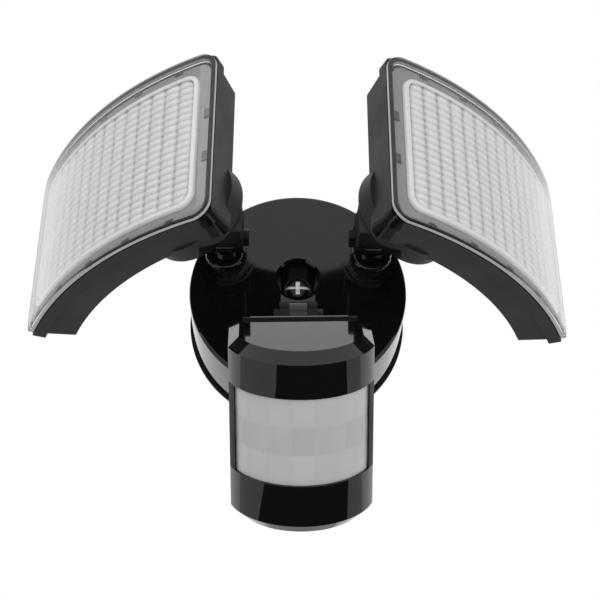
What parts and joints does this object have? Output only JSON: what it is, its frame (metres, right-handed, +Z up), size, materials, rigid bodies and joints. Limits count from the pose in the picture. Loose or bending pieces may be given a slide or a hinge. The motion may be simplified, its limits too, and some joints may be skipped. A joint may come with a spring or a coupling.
{
  "type": "motion sensor security light",
  "caption": "Wall security light with curved floodlight heads and a motion sensor on swivelling, tilting arms from a round canopy.",
  "frame": {"origin": "centre of the junction-box screw pattern, on the wall plane", "axes": "+Z up, -Y out of the wall towards the viewer, +X to the viewer's right"},
  "size_m": [0.2954, 0.1544, 0.2343],
  "materials": {
    "gloss_black": "gloss",
    "head_black": "satin powder coat",
    "arm_black": "gloss",
    "clear_cover": "clear polycarbonate",
    "frosted_optic": "frosted prisms",
    "tray_white": "pale grey",
    "milky_window": "milky, satin",
    "seal_rubber": "matte",
    "zinc_plate": "zinc plated",
    "bright_screw": "bright",
    "dark_bolt": "black oxide",
    "earth_green": "green",
    "circuit_board": "solder mask",
    "phosphor": "yellow phosphor",
    "driver_case": "matte",
    "wire_nut": "moulded"
  },
  "bodies": {
    "root": {"canopy": "gloss_black", "wall_gasket": "seal_rubber", "crossbar": "zinc_plate", "canopy_bolt": "bright_screw", "bolt_seal": "seal_rubber", "ground_screw": "earth_green", "lock_collars": "gloss_black", "wire_nuts": "wire_nut"},
    "left_arm": {"left_arm": "arm_black", "left_retainer": "zinc_plate"},
    "left_head": {"left_housing": "head_black", "left_lens": "clear_cover", "left_lens_gasket": "seal_rubber", "left_diffuser": "frosted_optic", "left_reflector": "tray_white", "left_led_board": "circuit_board", "left_leds": "phosphor", "left_driver": "driver_case", "left_housing_screws": "bright_screw", "left_tilt_bolt": "dark_bolt", "left_tilt_nut": "dark_bolt"},
    "right_arm": {"right_arm": "arm_black", "right_retainer": "zinc_plate"},
    "right_head": {"right_housing": "head_black", "right_lens": "clear_cover", "right_lens_gasket": "seal_rubber", "right_diffuser": "frosted_optic", "right_reflector": "tray_white", "right_led_board": "circuit_board", "right_leds": "phosphor", "right_driver": "driver_case", "right_housing_screws": "bright_screw", "right_tilt_bolt": "dark_bolt", "right_tilt_nut": "dark_bolt"},
    "sensor_arm": {"sensor_arm": "arm_black", "sensor_retainer": "zinc_plate"},
    "sensor": {"sensor_hood": "gloss_black", "sensor_housing": "gloss_black", "sensor_cap": "gloss_black", "pir_lens": "milky_window", "sensor_board": "circuit_board", "pyro_can": "bright_screw", "photocell": "phosphor", "relay": "driver_case", "sensor_screws": "bright_screw", "sensor_tilt_bolt": "dark_bolt", "sensor_tilt_nut": "dark_bolt"},
    "time_dial": {"time_dial": "gloss_black"},
    "range_dial": {"range_dial": "gloss_black"}
  },
  "joints": [
    {"name": "left_swivel", "type": "hinge", "parent": "root", "child": "left_arm", "pos_m": [-0.04, -0.072, 0.018], "axis": [0, 1, 0], "range_deg": [-20, 30]},
    {"name": "left_tilt", "type": "hinge", "parent": "left_arm", "child": "left_head", "pos_m": [-0.04, -0.072, 0.018], "axis": [1, 0, 0], "range_deg": [-30, 25]},
    {"name": "right_swivel", "type": "hinge", "parent": "root", "child": "right_arm", "pos_m": [0.04, -0.072, 0.018], "axis": [0, 1, 0], "range_deg": [-30, 20]},
    {"name": "right_tilt", "type": "hinge", "parent": "right_arm", "child": "right_head", "pos_m": [0.04, -0.072, 0.018], "axis": [1, 0, 0], "range_deg": [-30, 25]},
    {"name": "sensor_swivel", "type": "hinge", "parent": "root", "child": "sensor_arm", "pos_m": [0, -0.066, -0.027], "axis": [0, 1, 0], "range_deg": [-35, 35]},
    {"name": "sensor_tilt", "type": "hinge", "parent": "sensor_arm", "child": "sensor", "pos_m": [0, -0.066, -0.027], "axis": [0.9997, 0, 0.0262], "range_deg": [-45, 15]},
    {"name": "time_turn", "type": "hinge", "parent": "sensor", "child": "time_dial", "pos_m": [-0.01052, -0.03538, -0.12171], "axis": [-0.0185, -0.7071, 0.7069], "range_deg": [-135, 135]},
    {"name": "range_turn", "type": "hinge", "parent": "sensor", "child": "range_dial", "pos_m": [0.01547, -0.03538, -0.12103], "axis": [-0.0185, -0.7071, 0.7069], "range_deg": [-135, 135]}
  ]
}
